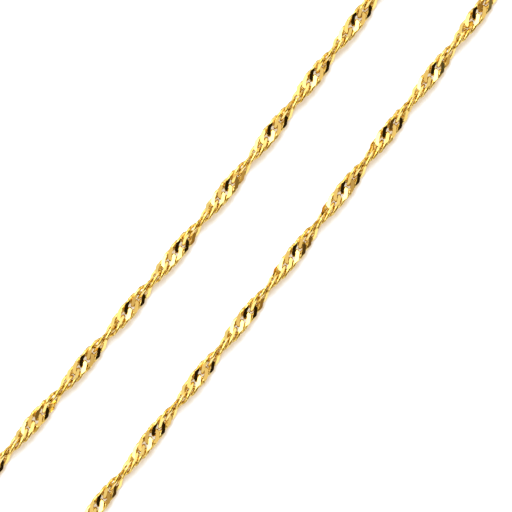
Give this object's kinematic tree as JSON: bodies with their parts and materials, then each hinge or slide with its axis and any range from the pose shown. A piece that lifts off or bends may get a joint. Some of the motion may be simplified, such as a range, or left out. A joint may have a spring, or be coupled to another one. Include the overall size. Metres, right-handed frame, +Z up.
{
  "type": "twisted curb chain necklace",
  "caption": "Fine gold-coloured chain necklace: a flat double curb chain twisted along its length, laid as a long narrow loop and closed by a small spring ring clasp.",
  "frame": {"origin": "middle of the closed loop's outline, on the surface it lies on", "axes": "+Y along the loop towards the clasp, +Z up from the surface, +X to the right of both"},
  "size_m": [0.0587, 0.2018, 0.0036],
  "materials": {
    "chain_gold": "polished yellow gold, diamond cut",
    "clasp_gold": "polished yellow gold"
  },
  "bodies": {
    "root": {"chain": "chain_gold", "end_link_left": "chain_gold", "end_link_right": "chain_gold", "jump_ring": "clasp_gold", "closing_ring": "clasp_gold", "clasp": "clasp_gold"}
  },
  "joints": []
}
